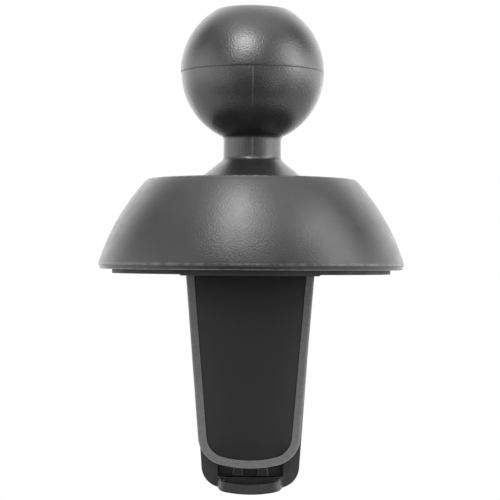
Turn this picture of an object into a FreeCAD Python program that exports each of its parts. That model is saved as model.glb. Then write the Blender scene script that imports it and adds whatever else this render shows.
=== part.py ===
import FreeCAD, Part
import os
import re
from math import atan2, cos, pi, sin, sqrt

import Sketcher
from FreeCAD import Placement, Rotation, Vector

# A clip that grips a slat of a car's air vent and carries a ball for a phone cradle.
# Millimetres. The origin is the ball's centre, +Z is up, the front of the clip looks along -Y.
# A "drop" is a distance below the ball's centre.

SIZES = {
    # ball, neck and flange, one moulding
    "ball_radius": 8.5,
    "ball_cut": 0.9,
    "neck_radius": 3.43,
    "neck_foot": 10.4,
    "neck_fillet": 0.8,
    "ball_neck_fillet": 0.3,
    "cone_radius": 6.6,
    "flange_overlap": 1,
    "flange_thickness": 1.05,
    "flange_sink": 0.15,
    "spigot_radius": 3.2,
    "spigot_length": 1.2,
    "spigot_flat": 2.5,
    # domed nut
    "dome_top": 12.8,
    "dome_top_step": 0.2,
    "dome_height": 10.05,
    "dome_flare": 5.75,
    "dome_curve": 26,
    "rim_height": 0.6,
    "rim_fillet": 0.2,
    "dome_edge_fillet": 0.3,
    "dome_wall": 1.3,
    "dome_deck": 2.4,
    "dome_rib_width": 1,
    "dome_rib_height": 3.1,
    "dome_ribs": 6,
    "rib_root": 0.4,
    "rib_bite": 0.8,
    "rib_slope": 1,
    # threaded barrel and the sleeve that turns on it
    "barrel_radius": 8.2,
    "barrel_wall": 1.8,
    "deck_thickness": 2.2,
    "thread_clearance": 0.1,
    "sleeve_wall": 1.3,
    "thread_lead": 3,
    "sleeve_end_gap": 0.15,
    "sleeve_flange_step": 2.6,
    "sleeve_flange_thickness": 1.2,
    "mouth_relief": 0.2,
    "mouth_height": 1.6,
    "mouth_run": 1,
    # pressure plate: washer, carrier, ring, plate and rubber
    "washer_width": 2.2,
    "washer_thickness": 0.6,
    "bearing_clearance": 0.1,
    "hub_wall": 1.9,
    "hub_taper": 0.6,
    "hub_foot": 19.1,
    "carrier_gap": 1.25,
    "carrier_thickness": 1,
    "ring_seat_step": 1.4,
    "ring_thickness": 0.5,
    "ring_width": 1.45,
    "ring_depth": 0.4,
    "ring_opening": 40,
    "ring_land": 0.5,
    "plate_thickness": 1,
    "plate_gap": 0.65,
    "pad_thickness": 0.9,
    "pad_gap": 0.35,
    "pad_show": 0.5,
    "slot_clearance": 0.3,
    "slot_corner": 0.4,
    "lip_height": 0.25,
    "lip_width": 0.4,
    "lip_slope": 0.2,
    # small fasteners
    "screw_land": 0.15,
    "small_screw_radius": 0.75,
    "small_head_radius": 1.15,
    "small_head_height": 0.6,
    "small_screw_bite": 1.5,
    "screw_clearance": 0.1,
    "boss_radius": 1.4,
    "boss_height": 1.15,
    "boss_root": 0.2,
    "boss_land": 0.6,
    "screw_count": 3,
    "stud_screw_radius": 1.5,
    "stud_head_radius": 2.8,
    "stud_head_height": 0.85,
    "stud_screw_bite": 6.5,
    "pilot_play": 0.05,
    "key_root": 0.3,
    "cut_overrun": 1,
    # jaws
    "jaw_front": 3.8,
    "front_jaw_thickness": 1.9,
    "front_grip_thickness": 0.6,
    "jaw_gap": 2.4,
    "rear_jaw_thickness": 2.5,
    "front_root_half": 7.58,
    "front_tip_half": 5.81,
    "front_foot": 46.7,
    "front_foot_curve": 13.8,
    "front_corner": 3.5,
    "rear_root_half": 7.5,
    "rear_tip_half": 5.72,
    "rear_foot": 50,
    "rear_foot_curve": 15,
    "rear_corner": 2.6,
    "jaw_edge": 0.35,
    "border": 0.95,
    "panel_depth": 0.4,
    "panel_thickness": 0.32,
    "inset_play": 0.05,
    # jaw roots, hinge and spring
    "tongue_play": 0.45,
    "tongue_root": 1,
    "tongue_gap": 0.3,
    "pivot_depth": 2,
    "knuckle_radius": 1.8,
    "pin_radius": 1,
    "pin_play": 0.04,
    "pin_end": 0.45,
    "pin_chamfer": 0.25,
    "lock_pin_radius": 0.8,
    "lock_pin_edge": 1.3,
    "lock_pin_spacing": 2.2,
    "heel_half": 3,
    "heel_sink": 0.2,
    "heel_root": 0.5,
    "heel_drop": 1.7,
    "heel_height": 1.4,
    "window_play": 0.35,
    "spring_below_pivot": 4.1,
    "spring_radius": 1.3,
    "spring_wire": 0.36,
    "spring_turns": 4.5,
    "spring_seat": 0.7,
    "spring_play": 0.25,
    "spring_give": 0.55,
    # hook and grips
    "pocket_half": 3.9,
    "pocket_top": 26,
    "pocket_floor": 48.3,
    "pocket_depth": 1.2,
    "hook_reach": 2.9,
    "hook_front_half": 3.38,
    "hook_back_half": 3.95,
    "hook_wall": 0.7,
    "hook_floor": 0.75,
    "hook_lip": 1.35,
    "lip_overhang": 0.4,
    "lip_rise": 0.3,
    "lip_cut_height": 2,
    "hook_cheek": 1.9,
    "hook_corner": 0.8,
    "grip_base": 0.45,
    "rear_rib_half": 0.5,
    "rear_rib_foot_half": 0.7,
    "rear_rib_spacing": 3,
    "rear_rib_height": 0.6,
    "rear_rib_flare": 1.2,
    "rear_rib_gap": 0.15,
    "rear_rib_end": 1,
    "front_grip_half": 4.2,
    "front_grip_top": 26,
    "front_grip_foot": 44,
    "tread_height": 0.35,
    "tread_width": 0.7,
    "tread_pitch": 1.8,
    "tread_count": 9,
    "tread_margin": 0.4,
}

# radii and heights that several pieces share, as formulas on the sizes
FLANGE_RADIUS = "(barrel_radius + flange_overlap)"
JOURNAL = "(barrel_radius + thread_clearance + sleeve_wall)"
SLEEVE_FLANGE = f"({JOURNAL} + sleeve_flange_step)"
DOME_TOP_RADIUS = f"({SLEEVE_FLANGE} + dome_top_step)"
DOME_RADIUS = f"({DOME_TOP_RADIUS} + dome_flare)"
RIM_INSIDE = f"({DOME_RADIUS} - dome_wall)"
HUB_BORE = f"({JOURNAL} + bearing_clearance)"
HUB_RADIUS = f"({HUB_BORE} + hub_wall)"
CARRIER_RADIUS = f"({RIM_INSIDE} - carrier_gap)"
UPPER_SCREWS = f"({JOURNAL} + small_head_radius + screw_land)"
LOWER_SCREWS = f"({CARRIER_RADIUS} - boss_radius - boss_land)"
BALL_FLAT = "(ball_radius - ball_cut)"
FLANGE_TOP = "(dome_top + flange_sink)"
FLANGE_FOOT = "(dome_top + flange_sink + flange_thickness)"
DECK_FOOT = f"({FLANGE_FOOT} + deck_thickness)"
DOME_EDGE = "(dome_top + dome_height)"
RIM_FOOT = f"({DOME_EDGE} + rim_height)"
PAD_FOOT = f"({RIM_FOOT} + pad_show)"
PAD_TOP = f"({PAD_FOOT} - pad_thickness)"
PLATE_TOP = f"({PAD_TOP} - plate_thickness)"
BARREL_FOOT = f"({PLATE_TOP} - 2 * sleeve_end_gap)"
SLEEVE_TOP = f"({FLANGE_FOOT} + sleeve_end_gap)"
SLEEVE_FOOT = "(hub_foot + ring_thickness + bearing_clearance + ring_land)"
DECK_INSIDE = "(dome_top + dome_deck)"
SLEEVE_FLANGE_FOOT = f"({DECK_INSIDE} + sleeve_flange_thickness)"
WASHER_FOOT = f"({SLEEVE_FLANGE_FOOT} + washer_thickness)"
TONGUE_TOP = f"({DECK_FOOT} + tongue_gap)"
PIVOT_DROP = f"({TONGUE_TOP} + knuckle_radius)"
HEEL_TOP = f"({PIVOT_DROP} + heel_drop)"
SPRING_DROP = f"({PIVOT_DROP} + spring_below_pivot)"
LOCK_UPPER = f"({TONGUE_TOP} + lock_pin_edge)"
LOCK_LOWER = f"({LOCK_UPPER} + lock_pin_spacing)"
MOUTH_TOP = f"({SLEEVE_FOOT} - mouth_height)"
BORE = "(barrel_radius - barrel_wall)"
SLEEVE_BORE = "(barrel_radius + thread_clearance)"
MOUTH = f"({SLEEVE_BORE} + mouth_relief)"
DOME_HOLE = f"({FLANGE_RADIUS} + slot_clearance)"
SHOULDER = f"({SLEEVE_FOOT} + thread_lead + sleeve_end_gap)"
FRONT_INNER = "(jaw_front - front_jaw_thickness)"
REAR_FACE = f"(jaw_gap - {FRONT_INNER} + front_grip_thickness)"
REAR_BACK = f"({REAR_FACE} + rear_jaw_thickness)"
FRONT_CORNER_DROP = "(front_foot - front_foot_curve + sqrt(front_foot_curve^2 - front_tip_half^2))"
REAR_CORNER_DROP = "(rear_foot - rear_foot_curve + sqrt(rear_foot_curve^2 - rear_tip_half^2))"
SLOT_HALF = "(front_root_half + slot_clearance)"
TONGUE_HALF = f"(sqrt({BORE}^2 - jaw_front^2) - tongue_play)"
REAR_TONGUE_HALF = f"(sqrt({BORE}^2 - {REAR_BACK}^2) - tongue_play)"
REAR_MIDDLE = f"(({REAR_FACE} + {REAR_BACK}) / 2)"

# how near a point counts as the same when edges are picked
NEAR = 0.02

doc = FreeCAD.newDocument("vent_clip")
sheet = doc.addObject("Spreadsheet::Sheet", "sizes")
PIECES = []


def fill_sheet():
    for row, (alias, value) in enumerate(SIZES.items(), start=1):
        sheet.set(f"A{row}", alias)
        sheet.set(f"B{row}", str(value))
        sheet.setAlias(f"B{row}", alias)
    doc.recompute()


def formula(text):
    """The same formula with each size's name pointing at its cell."""
    return re.sub(r"[a-z][a-z_]+[a-z]", lambda m: f"sizes.{m[0]}" if m[0] in SIZES else m[0], str(text))


def value(text):
    return float(sheet.evalExpression(formula(text)))


def bind(thing, name, text):
    thing.setExpression(name, formula(text))


def new_body(name):
    body = doc.addObject("PartDesign::Body", name)
    body.Label = name
    PIECES.append(body)
    return body


def flat_sketch(body, name, plane, height="0"):
    """An empty sketch on one of the body's planes, lifted along the plane's normal."""
    sketch = body.newObject("Sketcher::SketchObject", name)
    origin_plane = next(f for f in body.Origin.OriginFeatures if f.Role == plane)
    sketch.AttachmentSupport = [(origin_plane, "")]
    sketch.MapMode = "FlatFace"
    bind(sketch, ".AttachmentOffset.Base.z", height)
    return sketch


def place(sketch, geometry, end, x, y):
    """Ties one point of a sketch to its formulas."""
    for kind, axis, text in (("DistanceX", -2, x), ("DistanceY", -1, y)):
        if abs(value(text)) < 1e-9:
            sketch.addConstraint(Sketcher.Constraint("PointOnObject", geometry, end, axis))
            continue
        index = sketch.addConstraint(Sketcher.Constraint(kind, -1, 1, geometry, end, value(text)))
        bind(sketch, f"Constraints[{index}]", text)


def arc_between(start, end, radius, side):
    """The short arc from start to end that bulges to the left (side 1) or the right (side -1)."""
    chord = end - start
    half = chord.Length / 2
    across = Vector(-chord.y, chord.x, 0).normalize() * side
    rise = sqrt(max(radius**2 - half**2, 0))
    centre = (start + end) / 2 - across * rise
    first, last = (start, end) if side < 0 else (end, start)
    angles = [atan2(p.y - centre.y, p.x - centre.x) for p in (first, last)]
    if angles[1] < angles[0]:
        angles[1] += 2 * pi
    return Part.ArcOfCircle(Part.Circle(centre, Vector(0, 0, 1), radius), *angles)


def outline(sketch, points, arcs=None):
    """A closed outline. arcs gives, for the side after a point, its radius and the side it bulges to."""
    arcs = arcs or {}
    spots = [Vector(value(x), value(y), 0) for x, y in points]
    first = sketch.GeometryCount
    count = len(points)
    ends = []
    for i, start in enumerate(spots):
        end = spots[(i + 1) % count]
        if i in arcs:
            radius, side = arcs[i]
            shape = arc_between(start, end, value(radius), side)
            ends.append((1, 2) if side < 0 else (2, 1))
        else:
            shape = Part.LineSegment(start, end)
            ends.append((1, 2))
        sketch.addGeometry(shape, False)
    for i, (x, y) in enumerate(points):
        after = (i + 1) % count
        sketch.addConstraint(
            Sketcher.Constraint("Coincident", first + i, ends[i][1], first + after, ends[after][0])
        )
        place(sketch, first + i, ends[i][0], x, y)
    for i, (radius, side) in arcs.items():
        index = sketch.addConstraint(Sketcher.Constraint("Radius", first + i, value(radius)))
        bind(sketch, f"Constraints[{index}]", radius)
    return sketch


def circle(sketch, x, y, radius):
    index = sketch.addGeometry(Part.Circle(Vector(value(x), value(y), 0), Vector(0, 0, 1), value(radius)))
    place(sketch, index, 3, x, y)
    size = sketch.addConstraint(Sketcher.Constraint("Radius", index, value(radius)))
    bind(sketch, f"Constraints[{size}]", radius)
    return sketch


def rectangle(sketch, left, right, low, high):
    return outline(sketch, [(left, low), (right, low), (right, high), (left, high)])


def revolve(body, name, points, arcs=None):
    """A turned form from its half section in radius and height."""
    sketch = outline(flat_sketch(body, f"{name}_section", "XZ_Plane"), points, arcs)
    turned = body.newObject("PartDesign::Revolution", name)
    turned.Profile = sketch
    turned.ReferenceAxis = (sketch, ["V_Axis"])
    turned.Angle = 360
    sketch.Visibility = False
    doc.recompute()
    return turned


def pad(body, name, sketch, length, both=False, back=False):
    grown = body.newObject("PartDesign::Pad", name)
    grown.Profile = sketch
    bind(grown, "Length", length)
    grown.Midplane = both
    grown.Reversed = back
    doc.recompute()
    return grown


def pocket(body, name, sketch, length, both=False, back=False):
    """Cuts a sketch into the body and checks that it took something away."""
    doc.recompute()
    before = body.Shape.Volume
    cut = body.newObject("PartDesign::Pocket", name)
    cut.Profile = sketch
    bind(cut, "Length", length)
    cut.Midplane = both
    cut.Reversed = back
    doc.recompute()
    if not body.Shape.Volume < before - 1e-6:
        raise RuntimeError(f"{body.Label}: {name} cuts nothing")
    return cut


def edges_where(feature, test):
    return [f"Edge{i}" for i, edge in enumerate(feature.Shape.Edges, start=1) if test(edge)]


def dress(body, kind, name, base, names, size):
    """A fillet or chamfer on the named edges of a feature."""
    dressed = body.newObject(f"PartDesign::{kind}", name)
    dressed.Base = (base, names)
    bind(dressed, "Radius" if kind == "Fillet" else "Size", size)
    doc.recompute()
    return dressed


def around(body, name, feature, count):
    """Repeats a feature about the vertical axis."""
    pattern = body.newObject("PartDesign::PolarPattern", name)
    pattern.Originals = [feature]
    axis = next(f for f in body.Origin.OriginFeatures if f.Role == "Z_Axis")
    pattern.Axis = (axis, [""])
    pattern.Angle = 360
    bind(pattern, "Occurrences", count)
    body.Tip = pattern
    doc.recompute()
    return pattern


def ring_edges(feature, radius, drop):
    """The round edges of a turned form at a radius and a drop."""
    r, z = value(radius), -value(drop)
    return edges_where(
        feature,
        lambda e: abs(e.BoundBox.ZMin - z) < NEAR
        and abs(e.BoundBox.ZMax - z) < NEAR
        and abs(e.BoundBox.XMax - r) < NEAR,
    )


def along_y(feature, half, drop):
    """The edges that run front to back at a half width and a drop, on both sides."""
    x, z = value(half), -value(drop)
    return edges_where(
        feature,
        lambda e: e.BoundBox.YLength > NEAR
        and e.BoundBox.XLength < NEAR
        and abs(abs(e.CenterOfMass.x) - x) < NEAR
        and abs(e.CenterOfMass.z - z) < NEAR,
    )


def ball_stud():
    body = new_body("ball_stud")
    flat_radius = f"sqrt(ball_radius^2 - {BALL_FLAT}^2)"
    spigot_foot = f"-({FLANGE_FOOT} + spigot_length)"
    turned = revolve(
        body,
        "stud",
        [
            ("0", BALL_FLAT),
            (flat_radius, BALL_FLAT),
            ("neck_radius", "-sqrt(ball_radius^2 - neck_radius^2)"),
            ("neck_radius", "-neck_foot"),
            ("cone_radius", f"-{FLANGE_TOP}"),
            (FLANGE_RADIUS, f"-{FLANGE_TOP}"),
            (FLANGE_RADIUS, f"-{FLANGE_FOOT}"),
            ("spigot_radius", f"-{FLANGE_FOOT}"),
            ("spigot_radius", spigot_foot),
            ("0", spigot_foot),
        ],
        {1: ("ball_radius", 1)},
    )
    foot_edge = ring_edges(turned, "neck_radius", "neck_foot")
    root = dress(body, "Fillet", "neck_root", turned, foot_edge, "neck_fillet")
    top_edge = ring_edges(root, "neck_radius", "sqrt(ball_radius^2 - neck_radius^2)")
    dress(body, "Fillet", "neck_top", root, top_edge, "ball_neck_fillet")
    pilot = flat_sketch(body, "pilot_circle", "XY_Plane", spigot_foot)
    circle(pilot, "0", "0", "stud_screw_radius + pilot_play")
    pocket(body, "pilot", pilot, "stud_screw_bite + spigot_length", back=True)
    flats = flat_sketch(body, "flats", "XY_Plane", spigot_foot)
    for side in (1, -1):
        inner = f"{side} * spigot_flat"
        outer = f"{side} * (spigot_radius + cut_overrun)"
        left, right = (inner, outer) if side > 0 else (outer, inner)
        rectangle(flats, left, right, "-spigot_radius - cut_overrun", "spigot_radius + cut_overrun")
    pocket(body, "spigot_flats", flats, "spigot_length", back=True)
    return body


def countersunk_screw(body, name, head_radius, head_height, radius, length, foot):
    """A screw that points up, its flat head at the bottom."""
    return revolve(
        body,
        name,
        [
            ("0", f"-({foot})"),
            (head_radius, f"-({foot})"),
            (radius, f"-({foot} - {head_height})"),
            (radius, f"-({foot} - {length} + {radius})"),
            (f"{radius} / 3", f"-({foot} - {length})"),
            ("0", f"-({foot} - {length})"),
        ],
    )


def stud_screw():
    body = new_body("stud_screw")
    length = "(deck_thickness + stud_screw_bite)"
    countersunk_screw(
        body, "screw", "stud_head_radius", "stud_head_height", "stud_screw_radius", length, DECK_FOOT
    )
    cross = flat_sketch(body, "cross", "XY_Plane", f"-{DECK_FOOT}")
    arm, width = "stud_screw_radius", "stud_screw_radius / 5"
    outline(
        cross,
        [
            (f"-{arm}", f"-{width}"), (f"-{width}", f"-{width}"), (f"-{width}", f"-{arm}"),
            (width, f"-{arm}"), (width, f"-{width}"), (arm, f"-{width}"),
            (arm, width), (width, width), (width, arm),
            (f"-{width}", arm), (f"-{width}", width), (f"-{arm}", width),
        ],
    )
    pocket(body, "recess", cross, "stud_head_height", back=True)
    return body


def threaded_barrel():
    """A cup open below: its deck takes the stud, its walls take the jaw roots and pins."""
    body = new_body("threaded_barrel")
    floor = f"({FLANGE_FOOT} + spigot_length + pilot_play)"
    socket = "(spigot_radius + pilot_play)"
    hole = "(stud_screw_radius + screw_clearance)"
    head = "(stud_head_radius + screw_clearance)"
    turned = revolve(
        body,
        "barrel",
        [
            (hole, f"-{floor}"),
            (socket, f"-{floor}"),
            (socket, f"-{FLANGE_FOOT}"),
            ("barrel_radius", f"-{FLANGE_FOOT}"),
            ("barrel_radius", f"-{BARREL_FOOT}"),
            (BORE, f"-{BARREL_FOOT}"),
            (BORE, f"-{DECK_FOOT}"),
            (head, f"-{DECK_FOOT}"),
            (hole, f"-({DECK_FOOT} - stud_head_height)"),
        ],
    )
    dress(
        body, "Chamfer", "lead_in", turned, ring_edges(turned, "barrel_radius", BARREL_FOOT), "jaw_edge"
    )
    # the socket keeps two flats that stop the stud turning
    for side, name in ((1, "right"), (-1, "left")):
        inner = f"{side} * (spigot_flat + pilot_play)"
        outer = f"{side} * (spigot_radius + key_root)"
        left, right = (inner, outer) if side > 0 else (outer, inner)
        flat = flat_sketch(body, f"flat_{name}", "XY_Plane", f"-{floor}")
        rectangle(flat, left, right, "-spigot_radius", "spigot_radius")
        pad(body, f"key_{name}", flat, f"{floor} - {FLANGE_FOOT}")
    window = flat_sketch(body, "window_outline", "XZ_Plane")
    rectangle(
        window,
        "-heel_half - window_play",
        "heel_half + window_play",
        f"-{BARREL_FOOT} - cut_overrun",
        f"-{HEEL_TOP} + 2 * window_play",
    )
    pocket(body, "window", window, "barrel_radius + cut_overrun", back=True)
    pins = flat_sketch(body, "pin_circles", "YZ_Plane")
    circle(pins, "-pivot_depth", f"-{PIVOT_DROP}", "pin_radius + pin_play")
    for drop in (LOCK_UPPER, LOCK_LOWER):
        circle(pins, REAR_MIDDLE, f"-{drop}", "lock_pin_radius + pin_play")
    pocket(body, "pin_holes", pins, "3 * barrel_radius", both=True)
    return body


def cross_pin(name, depth, drop, radius):
    """A turned pin across the barrel, its ends just under the thread."""
    body = new_body(name)
    sketch = circle(flat_sketch(body, "end", "YZ_Plane"), depth, drop, radius)
    length = f"2 * (sqrt(barrel_radius^2 - (abs({depth}) + {radius})^2) - pin_end)"
    grown = pad(body, "shaft", sketch, length, both=True)
    rims = edges_where(grown, lambda e: e.BoundBox.XLength < NEAR)
    dress(body, "Chamfer", "ends", grown, rims, "pin_chamfer")
    return body


def jaw_outline(sketch, tongue, top, shoulder, root, tip, corner_drop, curve):
    """A jaw from the front: a narrow tongue, a tapered blade and a gently curved foot."""
    return outline(
        sketch,
        [
            (f"-{tongue}", f"-{top}"),
            (f"-{tongue}", f"-{shoulder}"),
            (f"-{root}", f"-{shoulder}"),
            (f"-{tip}", f"-{corner_drop}"),
            (tip, f"-{corner_drop}"),
            (root, f"-{shoulder}"),
            (tongue, f"-{shoulder}"),
            (tongue, f"-{top}"),
        ],
        {3: (curve, -1)},
    )


def rear_jaw():
    body = new_body("rear_jaw")
    blade = jaw_outline(
        flat_sketch(body, "blade_outline", "XZ_Plane", f"-{REAR_BACK}"),
        REAR_TONGUE_HALF,
        TONGUE_TOP,
        SHOULDER,
        "rear_root_half",
        "rear_tip_half",
        REAR_CORNER_DROP,
        "rear_foot_curve",
    )
    grown = pad(body, "blade", blade, "rear_jaw_thickness")
    corners = along_y(grown, "rear_tip_half", REAR_CORNER_DROP)
    rounded = dress(body, "Fillet", "corners", grown, corners, "rear_corner")
    back = value(REAR_BACK)
    rim = edges_where(
        rounded,
        lambda e: abs(e.BoundBox.YMin - back) < NEAR
        and abs(e.BoundBox.YMax - back) < NEAR
        and e.BoundBox.ZMin < -value(SHOULDER) - NEAR,
    )
    dress(body, "Fillet", "back_edges", rounded, rim, "jaw_edge")
    # the hook: a shallow tray that stands forward at the foot
    tray = flat_sketch(body, "tray_plan", "XY_Plane", "-rear_foot")
    front = f"{REAR_FACE} - hook_reach"
    outline(
        tray,
        [
            ("-hook_back_half", REAR_FACE),
            ("-hook_front_half", front),
            ("hook_front_half", front),
            ("hook_back_half", REAR_FACE),
        ],
    )
    block = pad(body, "tray", tray, "hook_cheek")
    nose = edges_where(
        block,
        lambda e: e.BoundBox.ZLength > NEAR
        and e.BoundBox.XLength < NEAR
        and abs(e.CenterOfMass.y - value(front)) < NEAR,
    )
    dress(body, "Fillet", "tray_nose", block, nose, "hook_corner")
    well = flat_sketch(body, "well_plan", "XY_Plane", "-rear_foot + hook_floor")
    outline(
        well,
        [
            ("-hook_back_half + hook_wall", f"{REAR_FACE}"),
            ("-hook_front_half + hook_wall", f"{front} + hook_wall"),
            ("hook_front_half - hook_wall", f"{front} + hook_wall"),
            ("hook_back_half - hook_wall", f"{REAR_FACE}"),
        ],
    )
    pocket(body, "well", well, "hook_cheek", back=True)
    # the front lip is lower than the cheeks, and the foot is curved below
    lip = flat_sketch(body, "lip_cut", "XZ_Plane", f"-({front}) - hook_wall - hook_corner")
    lip_half = "(hook_front_half + lip_overhang)"
    lip_side = "(hook_lip + lip_rise - rear_foot)"
    lip_top = "(hook_lip + lip_cut_height - rear_foot)"
    outline(
        lip,
        [
            (f"-{lip_half}", lip_side),
            (lip_half, lip_side),
            (lip_half, lip_top),
            (f"-{lip_half}", lip_top),
        ],
        {0: ("rear_foot_curve", -1)},
    )
    pocket(body, "lip", lip, "hook_reach", back=True)
    under = flat_sketch(body, "foot_cut", "XZ_Plane", f"-{REAR_FACE}")
    under_half = "(hook_back_half + cut_overrun)"
    under_side = f"-(rear_foot - rear_foot_curve + sqrt(rear_foot_curve^2 - {under_half}^2))"
    under_foot = "-(rear_foot + cut_overrun)"
    outline(
        under,
        [
            (f"-{under_half}", under_side),
            (under_half, under_side),
            (under_half, under_foot),
            (f"-{under_half}", under_foot),
        ],
        {0: ("rear_foot_curve", -1)},
    )
    pocket(body, "foot", under, "hook_reach + cut_overrun", back=True)
    recess = flat_sketch(body, "pocket_outline", "XZ_Plane", f"-{REAR_FACE}")
    rectangle(recess, "-pocket_half", "pocket_half", "-pocket_floor", "-pocket_top")
    pocket(body, "pad_pocket", recess, "pocket_depth")
    seat = flat_sketch(body, "spring_circle", "XZ_Plane", f"-{REAR_FACE}")
    circle(seat, "0", f"-{SPRING_DROP}", "spring_radius + spring_play")
    pocket(body, "spring_seat", seat, "spring_seat")
    pins = flat_sketch(body, "pin_circles", "YZ_Plane")
    for drop in (LOCK_UPPER, LOCK_LOWER):
        circle(pins, REAR_MIDDLE, f"-{drop}", "lock_pin_radius + pin_play")
    pocket(body, "pin_holes", pins, "3 * barrel_radius", both=True)
    return body


def rear_jaw_grip():
    """A soft insert in the rear jaw's pocket, with two ribs that flare at the foot."""
    body = new_body("rear_jaw_grip")
    floor = f"({REAR_FACE} + pocket_depth)"
    plan = flat_sketch(body, "base_outline", "XZ_Plane", f"-{floor}")
    rectangle(
        plan,
        "-pocket_half + inset_play",
        "pocket_half - inset_play",
        "-pocket_floor + inset_play",
        "-pocket_top - inset_play",
    )
    pad(body, "base", plan, "grip_base")
    for side, name in ((-1, "left"), (1, "right")):
        middle = f"{side} * rear_rib_spacing / 2"
        rib = flat_sketch(body, f"rib_{name}_outline", "XZ_Plane", f"-({floor} - grip_base)")
        low = "-pocket_floor + rear_rib_gap"
        flare = f"{low} + rear_rib_flare"
        high = "-pocket_top - rear_rib_end"
        outline(
            rib,
            [
                (f"{middle} - rear_rib_foot_half", low),
                (f"{middle} + rear_rib_foot_half", low),
                (f"{middle} + rear_rib_half", flare),
                (f"{middle} + rear_rib_half", high),
                (f"{middle} - rear_rib_half", high),
                (f"{middle} - rear_rib_half", flare),
            ],
        )
        pad(body, f"rib_{name}", rib, "rear_rib_height")
    return body


def panel_points(inset, top):
    """The inset panel's outline: the blade's own, moved in by the border."""
    root = f"(front_root_half - {inset})"
    tip = f"(front_tip_half - {inset})"
    curve = f"(front_foot_curve - {inset})"
    drop = f"(front_foot - {inset} - {curve} + sqrt({curve}^2 - {tip}^2))"
    points = [(f"-{root}", f"-{top}"), (f"-{tip}", f"-{drop}"), (tip, f"-{drop}"), (root, f"-{top}")]
    return points, {1: (curve, -1)}, tip, drop


def front_jaw():
    body = new_body("front_jaw")
    blade = flat_sketch(body, "blade_outline", "XZ_Plane", FRONT_INNER)
    outline(
        blade,
        [
            ("-front_root_half", f"-{SHOULDER}"),
            ("-front_tip_half", f"-{FRONT_CORNER_DROP}"),
            ("front_tip_half", f"-{FRONT_CORNER_DROP}"),
            ("front_root_half", f"-{SHOULDER}"),
        ],
        {1: ("front_foot_curve", -1)},
    )
    grown = pad(body, "blade", blade, "front_jaw_thickness")
    corners = along_y(grown, "front_tip_half", FRONT_CORNER_DROP)
    rounded = dress(body, "Fillet", "corners", grown, corners, "front_corner")
    face = -value("jaw_front")
    rim = edges_where(
        rounded,
        lambda e: abs(e.BoundBox.YMin - face) < NEAR
        and abs(e.BoundBox.YMax - face) < NEAR
        and e.CenterOfMass.z < -value(SHOULDER) - NEAR,
    )
    dress(body, "Fillet", "face_edges", rounded, rim, "jaw_edge")
    # the tongue with its knuckle, drawn from the side
    tongue = flat_sketch(body, "tongue_side", "YZ_Plane")
    near, far = "-pivot_depth - knuckle_radius", "-pivot_depth + knuckle_radius"
    outline(
        tongue,
        [
            (near, f"-{PIVOT_DROP}"),
            (far, f"-{PIVOT_DROP}"),
            (f"-{FRONT_INNER}", f"-{PIVOT_DROP} - knuckle_radius"),
            (f"-{FRONT_INNER}", f"-{SHOULDER} - tongue_root"),
            (near, f"-{SHOULDER} - tongue_root"),
        ],
        {0: ("knuckle_radius", 1)},
    )
    pad(body, "tongue", tongue, f"2 * {TONGUE_HALF}", both=True)
    heel = flat_sketch(body, "heel_plan", "XY_Plane", f"-{HEEL_TOP} - heel_height")
    heel_radius = "(barrel_radius - heel_sink)"
    heel_side = f"-sqrt({heel_radius}^2 - heel_half^2)"
    outline(
        heel,
        [
            ("-heel_half", "-jaw_front + heel_root"),
            ("-heel_half", heel_side),
            ("heel_half", heel_side),
            ("heel_half", "-jaw_front + heel_root"),
        ],
        {1: (heel_radius, -1)},
    )
    pad(body, "heel", heel, "heel_height")
    points, arcs, tip, drop = panel_points("border", SHOULDER)
    recess = outline(flat_sketch(body, "panel_outline", "XZ_Plane", "jaw_front"), points, arcs)
    sunk = pocket(body, "panel_recess", recess, "panel_depth")
    inner = along_y(sunk, tip, drop)
    dress(body, "Fillet", "panel_corners", sunk, inner, "front_corner - border")
    seat = flat_sketch(body, "spring_circle", "XZ_Plane", FRONT_INNER)
    circle(seat, "0", f"-{SPRING_DROP}", "spring_radius + spring_play")
    pocket(body, "spring_seat", seat, "spring_seat", back=True)
    bore = flat_sketch(body, "pivot_circle", "YZ_Plane")
    circle(bore, "-pivot_depth", f"-{PIVOT_DROP}", "pin_radius + pin_play")
    pocket(body, "pivot_bore", bore, "3 * barrel_radius", both=True)
    return body


def front_jaw_panel():
    body = new_body("front_jaw_panel")
    points, arcs, tip, drop = panel_points("(border + inset_play)", SHOULDER)
    level = "jaw_front - panel_depth"
    sketch = outline(flat_sketch(body, "outline", "XZ_Plane", level), points, arcs)
    grown = pad(body, "panel", sketch, "panel_thickness")
    dress(body, "Fillet", "corners", grown, along_y(grown, tip, drop), "front_corner - border")
    return body


def front_jaw_grip():
    """A soft tread on the inside of the front jaw, with bars across it."""
    body = new_body("front_jaw_grip")
    base = "(front_grip_thickness - tread_height)"
    sketch = flat_sketch(body, "base_outline", "XZ_Plane", f"{FRONT_INNER} - {base}")
    rectangle(sketch, "-front_grip_half", "front_grip_half", "-front_grip_foot", "-front_grip_top")
    pad(body, "base", sketch, base)
    bar = flat_sketch(body, "bar_outline", "XZ_Plane", f"{FRONT_INNER} - front_grip_thickness")
    half = "(front_grip_half - tread_margin)"
    low = "-front_grip_foot + 2 * tread_margin"
    rectangle(bar, f"-{half}", half, low, f"{low} + tread_width")
    tread = pad(body, "bar", bar, "tread_height")
    pattern = body.newObject("PartDesign::LinearPattern", "bars")
    pattern.Originals = [tread]
    pattern.Direction = (bar, ["V_Axis"])
    bind(pattern, "Length", "tread_pitch * (tread_count - 1)")
    bind(pattern, "Occurrences", "tread_count")
    body.Tip = pattern
    doc.recompute()
    return body


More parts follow.
